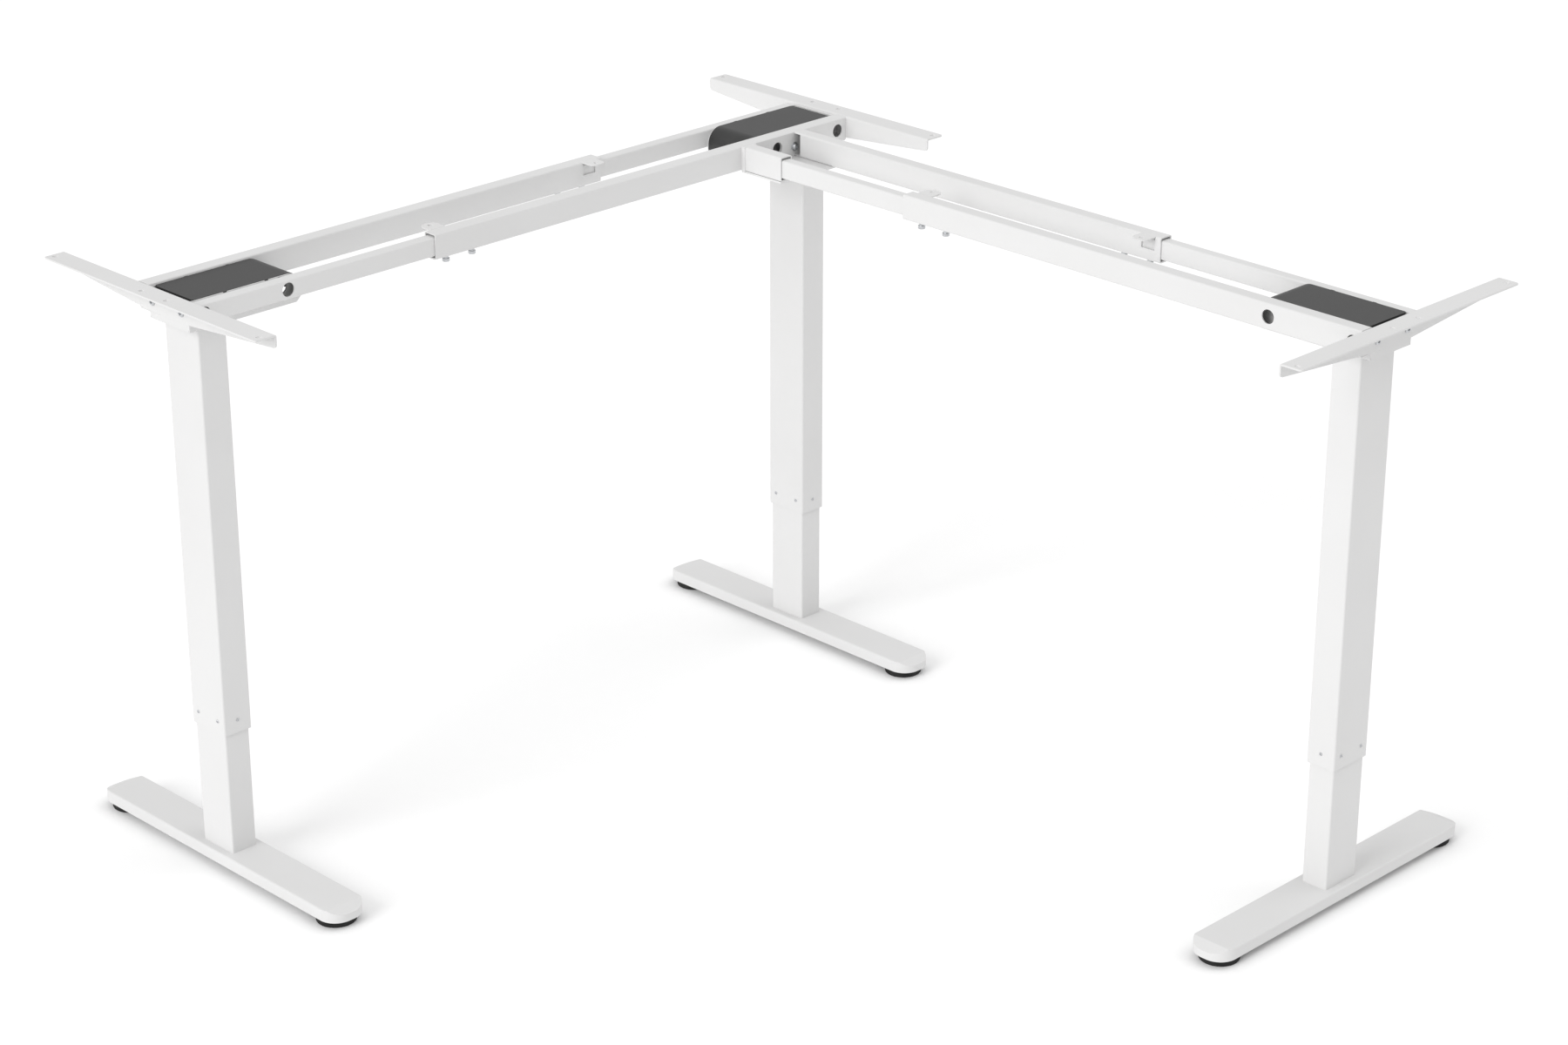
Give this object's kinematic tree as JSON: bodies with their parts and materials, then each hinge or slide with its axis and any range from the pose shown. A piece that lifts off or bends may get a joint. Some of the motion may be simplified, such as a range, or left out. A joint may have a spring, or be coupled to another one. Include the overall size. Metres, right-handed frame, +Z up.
{
  "type": "height adjustable standing desk frame",
  "caption": "L-shaped electric lifting desk frame: telescoping column legs on flat feet, drive trays with black covers, and telescoping rails with tabletop brackets.",
  "frame": {"origin": "on the floor, at the centre of the frame's bounding box", "axes": "+Z up; +X from the corner leg to the right leg along the side arm, the longest extent; -Y from the corner leg to the left leg along the main arm"},
  "size_m": [1.636, 1.48, 0.934],
  "materials": {
    "powder_white": "fine-texture white powder coat",
    "cover_black": "finely grained black moulding",
    "pad_black": "matt black",
    "zinc_plate": "bright zinc plated",
    "bare_steel": "machined and oiled",
    "motor_steel": "satin black can",
    "die_cast": "as cast",
    "glide_plastic": "natural acetal"
  },
  "bodies": {
    "corner_lower": {"corner_foot": "powder_white", "corner_foot_screws": "zinc_plate", "corner_lower_tube": "powder_white", "corner_nut": "glide_plastic", "corner_top_glide": "glide_plastic"},
    "corner_head": {"corner_upper_tube": "powder_white", "corner_bottom_glide": "glide_plastic", "corner_tray": "powder_white", "corner_bracket": "powder_white", "corner_cover": "cover_black", "corner_gearbox": "die_cast", "corner_motor": "motor_steel", "corner_screws": "zinc_plate", "main_front_sleeve": "powder_white", "main_rear_slider": "powder_white", "side_front_slider": "powder_white", "side_rear_sleeve": "powder_white", "corner_connector": "powder_white"},
    "corner_screw": {"corner_lead_screw": "bare_steel"},
    "corner_worm": {"corner_worm_shaft": "bare_steel"},
    "corner_pad_a": {"corner_pad_1": "pad_black"},
    "corner_pad_b": {"corner_pad_2": "pad_black"},
    "left_lower": {"left_foot": "powder_white", "left_foot_screws": "zinc_plate", "left_lower_tube": "powder_white", "left_nut": "glide_plastic", "left_top_glide": "glide_plastic"},
    "left_head": {"left_upper_tube": "powder_white", "left_bottom_glide": "glide_plastic", "left_tray": "powder_white", "left_bracket": "powder_white", "left_cover": "cover_black", "left_gearbox": "die_cast", "left_motor": "motor_steel", "left_screws": "zinc_plate", "main_rear_sleeve": "powder_white", "main_front_slider": "powder_white"},
    "left_screw": {"left_lead_screw": "bare_steel"},
    "left_worm": {"left_worm_shaft": "bare_steel"},
    "left_pad_a": {"left_pad_1": "pad_black"},
    "left_pad_b": {"left_pad_2": "pad_black"},
    "right_lower": {"right_foot": "powder_white", "right_foot_screws": "zinc_plate", "right_lower_tube": "powder_white", "right_nut": "glide_plastic", "right_top_glide": "glide_plastic"},
    "right_head": {"right_upper_tube": "powder_white", "right_bottom_glide": "glide_plastic", "right_tray": "powder_white", "right_bracket": "powder_white", "right_cover": "cover_black", "right_gearbox": "die_cast", "right_motor": "motor_steel", "right_screws": "zinc_plate", "side_front_sleeve": "powder_white", "side_rear_slider": "powder_white"},
    "right_screw": {"right_lead_screw": "bare_steel"},
    "right_worm": {"right_worm_shaft": "bare_steel"},
    "right_pad_a": {"right_pad_1": "pad_black"},
    "right_pad_b": {"right_pad_2": "pad_black"}
  },
  "joints": [
    {"name": "corner_lift", "type": "slide", "parent": "corner_lower", "child": "corner_head", "axis": [0, 0, 1], "range_m": [-0.19, 0.3]},
    {"name": "main_extend", "type": "slide", "parent": "corner_head", "child": "left_head", "axis": [0, -1, 0], "range_m": [-0.22, 0.25]},
    {"name": "side_extend", "type": "slide", "parent": "corner_head", "child": "right_head", "axis": [1, 0, 0], "range_m": [-0.24, 0.2]},
    {"name": "left_lift", "type": "slide", "parent": "left_head", "child": "left_lower", "axis": [0, 0, -1], "range_m": [-0.191, 0.301]},
    {"name": "right_lift", "type": "slide", "parent": "right_head", "child": "right_lower", "axis": [0, 0, -1], "range_m": [-0.191, 0.301]},
    {"name": "corner_screw_turn", "type": "hinge", "parent": "corner_head", "child": "corner_screw", "pos_m": [-0.52145, 0.56845, 0.6], "axis": [0, 0, 1], "range_deg": [-6850, 10810]},
    {"name": "left_screw_turn", "type": "hinge", "parent": "left_head", "child": "left_screw", "pos_m": [-0.52145, -0.65855, 0.6], "axis": [0, 0, 1], "range_deg": [-6850, 10810]},
    {"name": "right_screw_turn", "type": "hinge", "parent": "right_head", "child": "right_screw", "pos_m": [0.73655, 0.44345, 0.6], "axis": [0, 0, 1], "range_deg": [-6850, 10810]},
    {"name": "corner_worm_turn", "type": "hinge", "parent": "corner_head", "child": "corner_worm", "pos_m": [-0.50215, 0.56845, 0.906], "axis": [0, 1, 0], "range_deg": [-136900, 216100]},
    {"name": "left_worm_turn", "type": "hinge", "parent": "left_head", "child": "left_worm", "pos_m": [-0.54075, -0.65855, 0.906], "axis": [0, -1, 0], "range_deg": [-136900, 216100]},
    {"name": "right_worm_turn", "type": "hinge", "parent": "right_head", "child": "right_worm", "pos_m": [0.73655, 0.42415, 0.906], "axis": [1, 0, 0], "range_deg": [-136900, 216100]},
    {"name": "corner_pad_a_level", "type": "slide", "parent": "corner_lower", "child": "corner_pad_a", "axis": [0, 0, -1], "range_m": [0, 0.008]},
    {"name": "corner_pad_b_level", "type": "slide", "parent": "corner_lower", "child": "corner_pad_b", "axis": [0, 0, -1], "range_m": [0, 0.008]},
    {"name": "left_pad_a_level", "type": "slide", "parent": "left_lower", "child": "left_pad_a", "axis": [0, 0, -1], "range_m": [0, 0.008]},
    {"name": "left_pad_b_level", "type": "slide", "parent": "left_lower", "child": "left_pad_b", "axis": [0, 0, -1], "range_m": [0, 0.008]},
    {"name": "right_pad_a_level", "type": "slide", "parent": "right_lower", "child": "right_pad_a", "axis": [0, 0, -1], "range_m": [0, 0.008]},
    {"name": "right_pad_b_level", "type": "slide", "parent": "right_lower", "child": "right_pad_b", "axis": [0, 0, -1], "range_m": [0, 0.008]}
  ],
  "couplings": [
    {"joint": "left_lift", "follows": "corner_lift", "ratio": 1},
    {"joint": "right_lift", "follows": "corner_lift", "ratio": 1},
    {"joint": "corner_screw_turn", "follows": "corner_lift", "rad_per_m": 628.32},
    {"joint": "left_screw_turn", "follows": "corner_lift", "rad_per_m": 628.32},
    {"joint": "right_screw_turn", "follows": "corner_lift", "rad_per_m": 628.32},
    {"joint": "corner_worm_turn", "follows": "corner_lift", "rad_per_m": 12566},
    {"joint": "left_worm_turn", "follows": "corner_lift", "rad_per_m": 12566},
    {"joint": "right_worm_turn", "follows": "corner_lift", "rad_per_m": 12566}
  ]
}
